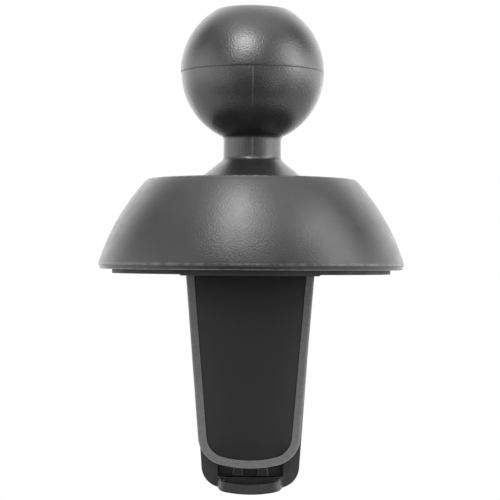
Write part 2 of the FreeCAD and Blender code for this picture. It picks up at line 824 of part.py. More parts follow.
def jaw_spring():
    """A small compression spring between the jaws, under the pivot: it pushes the front jaw open."""
    spring = doc.addObject("Part::Feature", "jaw_spring")
    spring.Label = "jaw_spring"
    PIECES.append(spring)
    wire = value("spring_wire") / 2
    radius = value("spring_radius") - wire
    turns = value("spring_turns")
    room = value("jaw_gap + front_grip_thickness + 2 * spring_seat - spring_give")
    pitch = (room - 2 * wire) / turns
    coil = Part.makeHelix(pitch, room - 2 * wire, radius)
    along = Vector(0, 2 * pi * radius, pitch)
    section = Part.Wire([Part.makeCircle(wire, Vector(radius, 0, 0), along)])
    spring.Shape = Part.Wire(coil.Edges).makePipeShell([section], True, True)
    back = value(f"{REAR_FACE} + spring_seat") - wire
    spring.Placement = Placement(Vector(0, back, -value(SPRING_DROP)), Rotation(Vector(1, 0, 0), 90))
    return spring


def dome_shell():
    body = new_body("dome_shell")
    slant = "dome_flare / dome_height"
    inner_top = f"({DOME_TOP_RADIUS} + dome_deck * {slant} - dome_wall)"
    turned = revolve(
        body,
        "shell",
        [
            (DOME_HOLE, "-dome_top"),
            (DOME_TOP_RADIUS, "-dome_top"),
            (DOME_RADIUS, f"-{DOME_EDGE}"),
            (DOME_RADIUS, f"-{RIM_FOOT}"),
            (RIM_INSIDE, f"-{RIM_FOOT}"),
            (RIM_INSIDE, f"-{DOME_EDGE}"),
            (inner_top, f"-{DECK_INSIDE}"),
            (DOME_HOLE, f"-{DECK_INSIDE}"),
        ],
        {1: ("dome_curve", 1), 5: ("dome_curve - dome_wall", -1)},
    )
    top_edge = ring_edges(turned, DOME_TOP_RADIUS, "dome_top")
    softened = dress(body, "Fillet", "top_edge", turned, top_edge, "dome_edge_fillet")
    rim_edge = ring_edges(softened, DOME_RADIUS, RIM_FOOT)
    dress(body, "Fillet", "rim_edge", softened, rim_edge, "rim_fillet")
    pilot = flat_sketch(body, "pilot_circle", "XY_Plane", f"-{DECK_INSIDE}")
    circle(pilot, UPPER_SCREWS, "0", "small_screw_radius + pilot_play")
    hole = pocket(body, "pilot", pilot, "small_screw_bite", back=True)
    around(body, "pilots", hole, "screw_count")
    rib = flat_sketch(body, "rib_outline", "XZ_Plane")
    start = f"{SLEEVE_FLANGE} + slot_clearance"
    root = f"rib_root - {DECK_INSIDE}"
    outline(
        rib,
        [
            (start, root),
            (f"{inner_top} + rib_bite", root),
            (f"{inner_top} + rib_bite + dome_rib_height * {slant}", f"-{DECK_INSIDE} - dome_rib_height"),
            (start, f"-{DECK_INSIDE} - dome_rib_height + rib_slope"),
        ],
    )
    grown = pad(body, "rib", rib, "dome_rib_width", both=True)
    around(body, "ribs", grown, "dome_ribs")
    return body


def thread_sleeve():
    """The nut's threaded sleeve: a spigot, a screwed flange and a journal with a ring groove."""
    body = new_body("thread_sleeve")
    spigot = f"({DOME_HOLE} - pilot_play)"
    groove_foot = "-hub_foot - ring_thickness - bearing_clearance"
    revolve(
        body,
        "sleeve",
        [
            (SLEEVE_BORE, f"-{SLEEVE_TOP}"),
            (spigot, f"-{SLEEVE_TOP}"),
            (spigot, f"-{DECK_INSIDE}"),
            (SLEEVE_FLANGE, f"-{DECK_INSIDE}"),
            (SLEEVE_FLANGE, f"-{SLEEVE_FLANGE_FOOT}"),
            (JOURNAL, f"-{SLEEVE_FLANGE_FOOT}"),
            (JOURNAL, "-hub_foot"),
            (f"{JOURNAL} - ring_depth", "-hub_foot"),
            (f"{JOURNAL} - ring_depth", groove_foot),
            (JOURNAL, groove_foot),
            (JOURNAL, f"-{SLEEVE_FOOT}"),
            (MOUTH, f"-{SLEEVE_FOOT}"),
            (MOUTH, f"-{MOUTH_TOP} - mouth_run"),
            (SLEEVE_BORE, f"-{MOUTH_TOP}"),
        ],
    )
    holes(body, UPPER_SCREWS, SLEEVE_FLANGE_FOOT, "sleeve_flange_thickness")
    return body


def holes(body, circle_radius, foot, thickness):
    """Countersunk holes for the small screws, their heads at the foot of the piece."""
    shank = flat_sketch(body, "shank_circle", "XY_Plane", f"-{foot}")
    circle(shank, circle_radius, "0", "small_screw_radius + screw_clearance")
    first = pocket(body, "shank_hole", shank, thickness, back=True)
    around(body, "shank_holes", first, "screw_count")
    head = flat_sketch(body, "head_section", "XZ_Plane")
    cone = [
        (circle_radius, f"-{foot}"),
        (f"{circle_radius} + small_head_radius + screw_clearance", f"-{foot}"),
        (f"{circle_radius} + small_screw_radius + screw_clearance", f"-{foot} + small_head_height"),
        (circle_radius, f"-{foot} + small_head_height"),
    ]
    outline(head, cone)
    low = Vector(value(circle_radius), -value(foot), 0)
    high = low + Vector(0, value("small_head_height"), 0)
    line = head.addGeometry(Part.LineSegment(low, high), True)
    head.addConstraint(Sketcher.Constraint("Vertical", line))
    head.addConstraint(Sketcher.Constraint("PointOnObject", 0, 1, line))
    sink = body.newObject("PartDesign::Groove", "countersink")
    sink.Profile = head
    sink.ReferenceAxis = (head, ["Axis0"])
    sink.Angle = 360
    doc.recompute()
    around(body, "countersinks", sink, "screw_count")


def screw_set(name, circle_radius, foot, thickness):
    """Equal countersunk screws on a circle, heads down, as one group."""
    group = doc.addObject("Part::Feature", name)
    group.Label = name
    PIECES.append(group)
    radius = value("small_screw_radius")
    head = value("small_head_radius")
    sink = value("small_head_height")
    reach = value(f"{thickness} + small_screw_bite - pilot_play")
    profile = [
        Vector(0, 0, 0),
        Vector(head, 0, 0),
        Vector(radius, 0, sink),
        Vector(radius, 0, reach - radius),
        Vector(radius / 3, 0, reach),
        Vector(0, 0, reach),
        Vector(0, 0, 0),
    ]
    screw = Part.Face(Part.makePolygon(profile)).revolve(Vector(), Vector(0, 0, 1), 360)
    slot = Part.makeBox(2 * head, radius / 2, sink, Vector(-head, -radius / 4, -sink / 2))
    screw = screw.cut(slot)
    count = int(value("screw_count"))
    ring = value(circle_radius)
    solids = []
    for i in range(count):
        angle = 2 * pi * i / count
        copy = screw.copy()
        copy.translate(Vector(ring * cos(angle), ring * sin(angle), 0))
        solids += copy.Solids
    group.Shape = Part.makeCompound(solids)
    group.Placement = Placement(Vector(0, 0, -value(foot)), Rotation())
    return group


def thrust_washer():
    body = new_body("thrust_washer")
    plan = flat_sketch(body, "plan", "XY_Plane", f"-{WASHER_FOOT}")
    circle(plan, "0", "0", f"{HUB_BORE} + washer_width")
    circle(plan, "0", "0", HUB_BORE)
    pad(body, "washer", plan, "washer_thickness")
    return body


def pad_carrier():
    """A flanged hub that turns freely on the sleeve and carries the plate below it."""
    body = new_body("pad_carrier")
    web_foot = PLATE_TOP
    web_top = f"({PLATE_TOP} - carrier_thickness)"
    hub_top = f"({WASHER_FOOT} + bearing_clearance / 2)"
    seat = f"({JOURNAL} + ring_seat_step)"
    revolve(
        body,
        "carrier",
        [
            (HUB_BORE, f"-{hub_top}"),
            (HUB_RADIUS, f"-{hub_top}"),
            (f"{HUB_RADIUS} + hub_taper", f"-{web_top}"),
            (CARRIER_RADIUS, f"-{web_top}"),
            (CARRIER_RADIUS, f"-{web_foot}"),
            (seat, f"-{web_foot}"),
            (seat, "-hub_foot"),
            (HUB_BORE, "-hub_foot"),
        ],
    )
    boss = flat_sketch(body, "boss_circle", "XY_Plane", f"-{web_top} - boss_root")
    circle(boss, LOWER_SCREWS, "0", "boss_radius")
    grown = pad(body, "boss", boss, "boss_height + boss_root")
    around(body, "bosses", grown, "screw_count")
    pilot = flat_sketch(body, "pilot_circle", "XY_Plane", f"-{web_foot}")
    circle(pilot, LOWER_SCREWS, "0", "small_screw_radius + pilot_play")
    hole = pocket(body, "pilot", pilot, "small_screw_bite + pilot_play", back=True)
    around(body, "pilots", hole, "screw_count")
    return body


def retaining_ring():
    """An open ring that snaps into the sleeve's groove under the hub."""
    body = new_body("retaining_ring")
    inner = f"({JOURNAL} - ring_depth + pilot_play)"
    foot = "hub_foot + ring_thickness + bearing_clearance / 2"
    plan = flat_sketch(body, "plan", "XY_Plane", f"-({foot})")
    circle(plan, "0", "0", f"{inner} + ring_width")
    circle(plan, "0", "0", inner)
    pad(body, "ring", plan, "ring_thickness")
    gap = flat_sketch(body, "gap", "XY_Plane", f"-({foot})")
    reach = f"({JOURNAL} + ring_width + cut_overrun)"
    far = f"{reach} * cos(ring_opening / 2 * 1deg)"
    half = f"{reach} * sin(ring_opening / 2 * 1deg)"
    outline(gap, [("0", "0"), (far, half), (far, f"-{half}")])
    pocket(body, "opening", gap, "ring_thickness", back=True)
    return body


def slot(sketch, extra="0"):
    """The slot that both jaws pass through, with its corners left square for a fillet."""
    return rectangle(
        sketch,
        f"-{SLOT_HALF} - {extra}",
        f"{SLOT_HALF} + {extra}",
        f"-jaw_front - slot_clearance - {extra}",
        f"{REAR_BACK} + slot_clearance + {extra}",
    )


def pad_plate():
    body = new_body("pad_plate")
    plan = flat_sketch(body, "plan", "XY_Plane", f"-{PAD_TOP}")
    circle(plan, "0", "0", f"{RIM_INSIDE} - plate_gap")
    slot(plan)
    grown = pad(body, "plate", plan, "plate_thickness")
    corners = edges_where(
        grown,
        lambda e: e.BoundBox.XLength < NEAR
        and e.BoundBox.YLength < NEAR
        and abs(abs(e.CenterOfMass.x) - value(SLOT_HALF)) < NEAR,
    )
    dress(body, "Fillet", "slot_corners", grown, corners, "slot_corner")
    holes(body, LOWER_SCREWS, PAD_TOP, "plate_thickness")
    return body


def rubber_pad():
    """The soft disc that meets the vent, with a low lip round the jaws' slot."""
    body = new_body("rubber_pad")
    plan = flat_sketch(body, "plan", "XY_Plane", f"-{PAD_FOOT}")
    circle(plan, "0", "0", f"{RIM_INSIDE} - pad_gap")
    slot(plan)
    grown = pad(body, "disc", plan, "pad_thickness")
    lip = flat_sketch(body, "lip_plan", "XY_Plane", f"-{PAD_FOOT} - lip_height")
    slot(lip, "lip_width")
    slot(lip)
    raised = pad(body, "lip", lip, "lip_height")
    foot = -value(f"{PAD_FOOT} + lip_height")
    side = value(f"{SLOT_HALF} + lip_width")
    front = -value("jaw_front + slot_clearance + lip_width")
    back = value(f"{REAR_BACK} + slot_clearance + lip_width")
    outer = edges_where(
        raised,
        lambda e: abs(e.CenterOfMass.z - foot) < NEAR
        and (
            abs(abs(e.CenterOfMass.x) - side) < NEAR
            or e.CenterOfMass.y < front + NEAR
            or e.CenterOfMass.y > back - NEAR
        ),
    )
    dress(body, "Chamfer", "lip_slope", raised, outer, "lip_slope")
    return body


def check_all():
    """Stops if any object failed or any piece is not one sound shape."""
    doc.recompute()
    for thing in doc.Objects:
        if {"Invalid", "Error"} & set(thing.State):
            raise RuntimeError(f"{thing.Label} failed: {thing.State}")
    for piece in PIECES:
        shape = piece.Shape
        if shape.isNull() or not shape.isValid() or not shape.Solids:
            raise RuntimeError(f"{piece.Label} has no sound shape")


def write_all():
    os.makedirs("parts", exist_ok=True)
    for piece in PIECES:
        piece.Shape.exportStep(f"parts/{piece.Label}.step")
        box = piece.Shape.optimalBoundingBox(False, False)
        print(
            f"{piece.Label:18} solids {len(piece.Shape.Solids)}  volume {piece.Shape.Volume:9.2f}"
            f"  x {box.XMin:7.2f} {box.XMax:6.2f}  y {box.YMin:7.2f} {box.YMax:6.2f}"
            f"  z {box.ZMin:7.2f} {box.ZMax:6.2f}"
        )


fill_sheet()
ball_stud()
stud_screw()
threaded_barrel()
cross_pin("jaw_pivot_pin", "-pivot_depth", f"-{PIVOT_DROP}", "pin_radius")
cross_pin("rear_jaw_pin_upper", REAR_MIDDLE, f"-{LOCK_UPPER}", "lock_pin_radius")
cross_pin("rear_jaw_pin_lower", REAR_MIDDLE, f"-{LOCK_LOWER}", "lock_pin_radius")
rear_jaw()
rear_jaw_grip()
jaw_spring()
front_jaw()
front_jaw_panel()
front_jaw_grip()
dome_shell()
thread_sleeve()
screw_set("sleeve_screws", UPPER_SCREWS, SLEEVE_FLANGE_FOOT, "sleeve_flange_thickness")
thrust_washer()
pad_carrier()
retaining_ring()
pad_plate()
screw_set("plate_screws", LOWER_SCREWS, PAD_TOP, "plate_thickness")
rubber_pad()
check_all()
write_all()
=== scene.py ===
import math

import bmesh
import bpy
import numpy as np
from mathutils import Matrix, Vector


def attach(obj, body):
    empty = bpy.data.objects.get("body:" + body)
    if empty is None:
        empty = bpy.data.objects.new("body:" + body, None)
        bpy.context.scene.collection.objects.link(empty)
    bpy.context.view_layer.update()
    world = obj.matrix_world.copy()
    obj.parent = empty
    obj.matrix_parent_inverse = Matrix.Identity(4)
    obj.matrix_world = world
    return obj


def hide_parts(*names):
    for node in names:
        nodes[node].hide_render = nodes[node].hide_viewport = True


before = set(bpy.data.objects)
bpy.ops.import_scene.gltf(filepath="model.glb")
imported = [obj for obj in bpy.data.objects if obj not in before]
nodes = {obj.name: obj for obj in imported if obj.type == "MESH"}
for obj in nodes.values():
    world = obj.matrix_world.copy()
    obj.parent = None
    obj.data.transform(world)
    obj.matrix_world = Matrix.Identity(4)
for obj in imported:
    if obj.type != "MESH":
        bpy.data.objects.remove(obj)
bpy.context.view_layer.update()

# Lengths are in millimetres and angles in degrees, where a comment doesn't say otherwise.
MM = 0.001

# Where the camera stands: 201 mm from the clip's axis, about level with the dome's rim, and a little round
# to the right
VIEW_DISTANCE = 201
VIEW_HEIGHT = -22.1
VIEW_YAW = 1.8
VIEW_ROLL = 0.34
VIEW_AIM = (-0.15, 0, VIEW_HEIGHT + 0.95)
FOCAL_PIXELS = 1690
PICTURE_PIXELS = 500
SENSOR_WIDTH = 36
CLIP_METRES = (0.01, 10)

# How the meshes are made
SMOOTH_ANGLE = 38
ON_AXIS = 1e-9
FINE_STEPS = (-1.6, -1.1, -0.75, -0.5, -0.3, -0.15, 0, 0.15, 0.3, 0.5, 0.75, 1.1, 1.6)
CLOSEST_ANGLES = 0.08
CORNER_SHARE = 0.49
EDGE_STEPS = 3
MITRE_LIMIT = 0.3
WELD_DISTANCE = 0.0005
FLAT_ANGLE = 0.4
CREASE_ANGLE = 25


# Meshes


def piece(name, bm, body, slot, *stands_for):
    """Makes a smooth-shaded object from a bmesh in millimetres and lets it ride on a body."""
    mesh = bpy.data.meshes.new(name)
    bmesh.ops.scale(bm, vec=(MM, MM, MM), verts=bm.verts)
    bmesh.ops.recalc_face_normals(bm, faces=bm.faces)
    bm.to_mesh(mesh)
    bm.free()
    mesh.shade_smooth()
    mesh.set_sharp_from_angle(angle=math.radians(SMOOTH_ANGLE))
    obj = bpy.data.objects.new(name, mesh)
    bpy.context.scene.collection.objects.link(obj)
    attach(obj, body)
    if stands_for:
        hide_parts(*stands_for)
    return obj


def turned(profile, angles, shape=None):
    """A turned form from points (radius, height). shape(radius, height, angle) may move a point.

    A profile that starts and ends off the axis is closed to a ring. The angles are in radians."""
    bm = bmesh.new()
    rings = []
    for r, z in profile:
        if r < ON_AXIS:
            rings.append([bm.verts.new((0, 0, z))])
            continue
        ring = []
        for a in angles:
            rr, zz, dx = (r, z, 0) if shape is None else shape(r, z, a)
            ring.append(bm.verts.new((rr * math.cos(a) + dx, rr * math.sin(a), zz)))
        rings.append(ring)
    closed = len(rings[0]) > 1 and len(rings[-1]) > 1
    pairs = list(zip(rings, rings[1:])) + ([(rings[-1], rings[0])] if closed else [])
    for low, high in pairs:
        n = max(len(low), len(high))
        for i in range(n):
            j = (i + 1) % n
            if len(low) == 1:
                bm.faces.new((low[0], high[i], high[j]))
            elif len(high) == 1:
                bm.faces.new((low[i], low[j], high[0]))
            else:
                bm.faces.new((low[i], low[j], high[j], high[i]))
    return bm


def arc(centre, radius, start, end, count):
    """Points on an arc in the half section."""
    turn = np.radians(np.linspace(start, end, count))
    return [(centre[0] + radius * math.cos(t), centre[1] + radius * math.sin(t)) for t in turn]


def arc_through(start, end, radius, count):
    """Points on the arc of a radius from start to end that bulges away from the axis."""
    a, b = Vector(start), Vector(end)
    middle = (a + b) / 2
    half = (b - a).length / 2
    side = Vector((-(b - a).y, (b - a).x)).normalized()
    if side.x > 0:
        side = -side
    centre = middle + side * math.sqrt(radius**2 - half**2)
    first = math.atan2(a.y - centre.y, a.x - centre.x)
    last = math.atan2(b.y - centre.y, b.x - centre.x)
    turn = np.linspace(first, last, count)
    return [(centre.x + radius * math.cos(t), centre.y + radius * math.sin(t)) for t in turn]


def rounded(points, radii, count=4):
    """Replaces corners of a half section by small curves.

    radii maps a point's index to the distance from the corner at which its curve starts and ends."""
    out = []
    for i, p in enumerate(points):
        if i not in radii:
            out.append(p)
            continue
        here = Vector(p)
        before, after = Vector(points[i - 1]) - here, Vector(points[(i + 1) % len(points)]) - here
        r = min(radii[i], before.length * CORNER_SHARE, after.length * CORNER_SHARE)
        a, b = here + before.normalized() * r, here + after.normalized() * r
        for k in range(count + 1):
            t = k / count
            out.append(tuple(a * (1 - t) ** 2 + here * 2 * t * (1 - t) + b * t**2))
    return out


def full_turn(count, *fine):
    """Angles round the axis in radians, with closer ones near each angle in fine, given in degrees."""
    angles = set(np.round(np.linspace(0, 360, count, endpoint=False), 4))
    for f in fine:
        for step in FINE_STEPS:
            angles.add(round((f + step) % 360, 4))
    ordered = sorted(angles)
    kept = [ordered[0]]
    for a in ordered[1:]:
        if a - kept[-1] > CLOSEST_ANGLES:
            kept.append(a)
    return [math.radians(a) for a in kept]


def raised(bm, outline, back, front, radius):
    """Adds a plate to bm: an outline of (x, z) from the depth back to front, its front edge rounded.

    The rounded edge takes the second material slot."""
    count = len(outline)
    points = [Vector(p) for p in outline]
    inward = []
    for i, here in enumerate(points):
        before = (here - points[i - 1]).normalized()
        after = (points[(i + 1) % count] - here).normalized()
        side = Vector((-before.y - after.y, before.x + after.x)).normalized()
        inward.append(side / max(MITRE_LIMIT, side.dot(Vector((-after.y, after.x)))))
    rings = [(back, 0)]
    for k in range(EDGE_STEPS + 1):
        t = math.radians(90 * k / EDGE_STEPS)
        rings.append((front + radius * (1 - math.sin(t)), radius * (1 - math.cos(t))))
    made = []
    for depth, inset in rings:
        ring = zip(points, inward)
        made.append([bm.verts.new((p.x + n.x * inset, depth, p.y + n.y * inset)) for p, n in ring])
    for k in range(len(made) - 1):
        for i in range(count):
            j = (i + 1) % count
            face = bm.faces.new((made[k][i], made[k][j], made[k + 1][j], made[k + 1][i]))
            face.material_index = 1 if k else 0
    bm.faces.new(made[-1])
    bm.faces.new(made[0][::-1])


def from_cad(name, node, body, slot, width, segments=3):
    """The node's own form with its edges rounded to a width, as a mould leaves them.

    The rounded edges take the second material slot."""
    bm = bmesh.new()
    bm.from_mesh(nodes[node].data)
    bmesh.ops.scale(bm, vec=(1 / MM, 1 / MM, 1 / MM), verts=bm.verts)
    bmesh.ops.remove_doubles(bm, verts=bm.verts, dist=WELD_DISTANCE)
    bmesh.ops.dissolve_limit(
        bm,
        angle_limit=math.radians(FLAT_ANGLE),
        verts=bm.verts,
        edges=bm.edges,
        use_dissolve_boundaries=False,
    )
    crease = math.radians(CREASE_ANGLE)
    sharp = [e for e in bm.edges if len(e.link_faces) == 2 and e.calc_face_angle(0) > crease]
    bmesh.ops.bevel(
        bm,
        geom=sharp,
        offset=width,
        offset_type="OFFSET",
        segments=segments,
        profile=0.5,
        affect="EDGES",
        clamp_overlap=True,
        material=1,
    )
    bmesh.ops.triangulate(bm, faces=[f for f in bm.faces if len(f.verts) > 4])
    return piece(name, bm, body, slot, node)


# Materials

# Noises: the scale per metre and the detail
CLOUDS = (140, 4)
SPECKS = (2600, 3)
GLOSS = (700, 3)
RUBBING_AND_SHEEN = (1700, 3)

# The values of a noise that stand for the two ends of what it drives
CLOUD_ENDS = (0.25, 0.75)
GLOSS_ENDS = (0.3, 0.7)
RUBBING_AND_SHEEN_ENDS = (0.35, 0.65)

# The grain's round pebbles and the waves laid over them
PEBBLE_SOFTNESS = 0.6
WAVE_SHARE = 0.75
WAVE_DETAIL = 2

# Where the painted shade in the hook's well, behind the lip, fades in and where it is full: at its sides,
# top and front
WELL_SIDE = (3.35, 3.15)
WELL_TOP = (-48.05, -48.25)
WELL_FRONT = (-1.1, -0.9)

# A mix node's inputs for numbers and for colours, and its output for a colour
NUMBER_A, NUMBER_B = 2, 3
COLOUR_A, COLOUR_B = 6, 7
COLOUR_OUT = 2


def link(tree, out_node, out_name, in_node, in_name):
    """Joins an output to an input, each given by its name or its number."""
    tree.links.new(out_node.outputs[out_name], in_node.inputs[in_name])


def noise(tree, place, scale, detail):
    """A noise that stays with the object."""
    node = tree.nodes.new("ShaderNodeTexNoise")
    node.inputs["Scale"].default_value = scale
    node.inputs["Detail"].default_value = detail
    link(tree, place, "Object", node, "Vector")
    return node


def ranged(tree, source, output, low, high, to_low=0, to_high=1):
    """Takes a value from between low and high to between to_low and to_high, and holds it there."""
    node = tree.nodes.new("ShaderNodeMapRange")
    node.inputs["From Min"].default_value = low
    node.inputs["From Max"].default_value = high
    node.inputs["To Min"].default_value = to_low
    node.inputs["To Max"].default_value = to_high
    link(tree, source, output, node, "Value")
    return node


def combined(tree, operation, first, second):
    """Adds or multiplies the first outputs of two nodes."""
    node = tree.nodes.new("ShaderNodeMath")
    node.operation = operation
    link(tree, first, 0, node, 0)
    link(tree, second, 0, node, 1)
    return node


def rubbed_and_sheen_spots(tree, place, tone, grey):
    """Spots where the colour goes over to a lighter grey, broken up by a noise: partly rubbing and partly a
    painted highlight along the dome's edges.
    """
    broken = ranged(tree, noise(tree, place, *RUBBING_AND_SHEEN), "Fac", *RUBBING_AND_SHEEN_ENDS)
    mix = tree.nodes.new("ShaderNodeMix")
    mix.data_type = "RGBA"
    link(tree, broken, "Result", mix, "Factor")
    link(tree, *tone, mix, COLOUR_A)
    mix.inputs[COLOUR_B].default_value = (grey, grey, grey, 1)
    return mix, COLOUR_OUT


def painted_well_shade(tree, place, tone, left):
    """Painted shade: the colour inside the hook's well, behind the lip, is darkened where the recess lies
    in shadow.
    """
    parts = tree.nodes.new("ShaderNodeSeparateXYZ")
    link(tree, place, "Object", parts, "Vector")
    side = tree.nodes.new("ShaderNodeMath")
    side.operation = "ABSOLUTE"
    link(tree, parts, "X", side, 0)
    share = None
    for node, output, (outside, inside) in (
        (side, 0, WELL_SIDE),
        (parts, "Z", WELL_TOP),
        (parts, "Y", WELL_FRONT),
    ):
        fade = ranged(tree, node, output, outside * MM, inside * MM)
        share = fade if share is None else combined(tree, "MULTIPLY", share, fade)
    kept = ranged(tree, share, 0, 0, 1, 1, left)
    scaled = tree.nodes.new("ShaderNodeVectorMath")
    scaled.operation = "SCALE"
    link(tree, *tone, scaled, 0)
    link(tree, kept, "Result", scaled, "Scale")
    return scaled, "Vector"


def moulded(name, dark, light, rough, grain, grain_height, specular=0.5, wear_and_sheen_grey=None, well=None, speckle=0.4):
    """Moulded plastic or rubber: a base colour that varies softly, fine grain, and uneven gloss.

    dark and light are the ends of the base colour, rough the two ends of the roughness,
    grain the pebbles per metre and grain_height their height in millimetres. wear_and_sheen_grey is
    the grey of lighter spots that stand partly for rubbing and partly for a painted highlight, and well
    the share of the colour that is left in the hook's well, where it is darkened as painted shade.
    speckle is the share of fine specks in the colour, against soft clouds."""
    mat = bpy.data.materials.new(name)
    mat.use_nodes = True
    tree = mat.node_tree
    shader = tree.nodes["Principled BSDF"]
    shader.inputs["Specular IOR Level"].default_value = specular
    place = tree.nodes.new("ShaderNodeTexCoord")
    blend = tree.nodes.new("ShaderNodeMix")
    blend.inputs["Factor"].default_value = speckle
    link(tree, noise(tree, place, *CLOUDS), "Fac", blend, NUMBER_A)
    link(tree, noise(tree, place, *SPECKS), "Fac", blend, NUMBER_B)
    colour = tree.nodes.new("ShaderNodeValToRGB")
    for end, position, value in zip(colour.color_ramp.elements, CLOUD_ENDS, (dark, light)):
        end.position = position
        end.color = (*value, 1)
    link(tree, blend, 0, colour, "Fac")
    tone = (colour, "Color")
    if wear_and_sheen_grey:
        tone = rubbed_and_sheen_spots(tree, place, tone, wear_and_sheen_grey)
    if well:
        tone = painted_well_shade(tree, place, tone, well)
    link(tree, *tone, shader, "Base Color")
    gloss = ranged(tree, noise(tree, place, *GLOSS), "Fac", *GLOSS_ENDS, *rough)
    link(tree, gloss, "Result", shader, "Roughness")
    pebbles = tree.nodes.new("ShaderNodeTexVoronoi")
    pebbles.feature = "SMOOTH_F1"
    pebbles.inputs["Scale"].default_value = grain
    pebbles.inputs["Smoothness"].default_value = PEBBLE_SOFTNESS
    link(tree, place, "Object", pebbles, "Vector")
    waves = noise(tree, place, grain * WAVE_SHARE, WAVE_DETAIL)
    bump = tree.nodes.new("ShaderNodeBump")
    bump.inputs["Strength"].default_value = 1
    bump.inputs["Distance"].default_value = grain_height * MM
    link(tree, combined(tree, "ADD", pebbles, waves), "Value", bump, "Height")
    link(tree, bump, "Normal", shader, "Normal")
    return mat


def bright_steel(name):
    """Turned steel: bright and smooth, with a very low grain."""
    mat = moulded(
        name, (0.42, 0.42, 0.43), (0.56, 0.56, 0.57), rough=(0.24, 0.38), grain=6000, grain_height=0.001
    )
    mat.node_tree.nodes["Principled BSDF"].inputs["Metallic"].default_value = 1
    return mat


def paint(obj, *materials):
    """Gives an object its materials and keeps each face on its own slot."""
    faces = obj.data.polygons
    slots = [min(f.material_index, len(materials) - 1) for f in faces]
    obj.data.materials.clear()
    for mat in materials:
        obj.data.materials.append(mat)
    faces.foreach_set("material_index", slots)


def repaint(names, mat):
    """Gives carried-over CAD nodes a material without touching their meshes."""
    for n in names:
        nodes[n].material_slots[0].link = "OBJECT"
        nodes[n].material_slots[0].material = mat


# The two ends of the base colour that the stud and the dome share
GLOSSY_BLACK = (0.009, 0.009, 0.0092), (0.013, 0.013, 0.0132)
STUD = moulded(
    "stud_black", *GLOSSY_BLACK, rough=(0.29, 0.36), grain=5600, grain_height=0.017, specular=0.8
)
DOME = moulded(
    "dome_black", *GLOSSY_BLACK, rough=(0.32, 0.39), grain=5600, grain_height=0.0115, specular=0.7
)
# Lighter spots along the dome's rim and edges: partly rubbing, partly a painted highlight
DOME_EDGE = moulded(
    "dome_edge_wear_and_highlight", *GLOSSY_BLACK,
    rough=(0.3, 0.4), grain=5600, grain_height=0.0115, specular=0.7, wear_and_sheen_grey=0.07,
)
JAW = moulded(
    "jaw_grey", (0.105, 0.105, 0.106), (0.166, 0.166, 0.167),
    rough=(0.46, 0.58), grain=4600, grain_height=0.015, speckle=0.7,
)
# The front jaw's rounded edges in a lighter grey: a painted highlight
JAW_EDGE = moulded(
    "jaw_edge_painted_highlight", (0.13, 0.13, 0.131), (0.34, 0.34, 0.342),
    rough=(0.36, 0.5), grain=4600, grain_height=0.012, specular=0.6, speckle=0.7,
)
PANEL = moulded(
    "panel_black", (0.0115, 0.0115, 0.0118), (0.0145, 0.0145, 0.0148),
    rough=(0.34, 0.42), grain=6500, grain_height=0.003, specular=0.4,
)
# The panel's rounded edge goes up to a lighter black: a painted highlight
PANEL_EDGE = moulded(
    "panel_edge", (0.010, 0.010, 0.0103), (0.03, 0.03, 0.0305),
    rough=(0.3, 0.4), grain=6500, grain_height=0.002, specular=0.4,
)
# The hook's colour is darkened to a quarter in its well behind the lip: painted shade
HOOK = moulded(
    "hook_black", (0.014, 0.014, 0.0145), (0.038, 0.038, 0.0385),
    rough=(0.36, 0.50), grain=4600, grain_height=0.02, specular=0.55, well=0.25, speckle=0.7,
)
# The hook's rounded edges in a lighter grey: a painted highlight
HOOK_EDGE = moulded(
    "hook_edge_painted_highlight", (0.04, 0.04, 0.0405), (0.15, 0.15, 0.152),
    rough=(0.32, 0.45), grain=4600, grain_height=0.016, specular=0.6, speckle=0.7,
)
GRIP = moulded(
    "grip_silicone", (0.018, 0.018, 0.018), (0.026, 0.026, 0.026),
    rough=(0.50, 0.62), grain=5000, grain_height=0.006,
)
# The grip's rounded rib edges in a lighter grey: a painted highlight
GRIP_EDGE = moulded(
    "grip_edge_painted_highlight", (0.05, 0.05, 0.05), (0.13, 0.13, 0.13),
    rough=(0.4, 0.5), grain=5000, grain_height=0.006,
)
RUBBER = moulded(
    "vent_pad_rubber", (0.010, 0.010, 0.010), (0.016, 0.016, 0.016),
    rough=(0.58, 0.72), grain=4200, grain_height=0.010,
)
INNER = moulded(
    "inner_black", (0.020, 0.020, 0.020), (0.030, 0.030, 0.030),
    rough=(0.45, 0.55), grain=6000, grain_height=0.003,
)
BEARING = moulded(
    "bearing_white", (0.66, 0.65, 0.61), (0.74, 0.73, 0.69),
    rough=(0.22, 0.32), grain=6000, grain_height=0.001,
)
STEEL = bright_steel("bright_steel")


# Pieces

# The ball: the radii of its upper and lower mould half, the height of its flat, how many degrees below the
# flat's edge the sphere starts, the height of the parting line, and how far right the lower half stands
UPPER_RADIUS, LOWER_RADIUS = 8.525, 8.48
BALL_TOP = 7.6
FLAT_ROUNDING = 3.6
PARTING = -0.1
MOULD_SHIFT = 0.045

# The seam in front and behind runs from the parting line down to the cone
SEAM_TURN = -90 + VIEW_YAW
SEAM_HEIGHT = 0.038
SEAM_WIDTH = 0.06
SEAM_END = -10.9

# The neck's radius and its fillet under the ball, and the foot of the cone
NECK = 3.43
FILLET = NECK + 0.22
CONE_FOOT = (6.6, -12.95)

# The dome: the hole for the barrel, the deck, the rim and the arcs of its two sides
HOLE_RADIUS = 9.5
DECK_RADIUS = 12.4
DECK_TOP, DECK_UNDER = -12.8, -15.2
RIM_RADIUS, RIM_HEIGHT = 18.15, -22.85
OUTER_ARC, INNER_ARC = 26, 24.7

# The ribs under the deck. Points of the section above RIB_ROOT lie in the deck.
RIB_SECTION = [(12.5, -14.9), (12.5, -17.3), (15.0, -18.49), (13.6, -15.9), (13.2, -14.9)]
RIB_ROOT = -15
RIB_HALF_WIDTH = 0.5
RIB_ROUNDING = 0.08
RIB_COUNT = 6

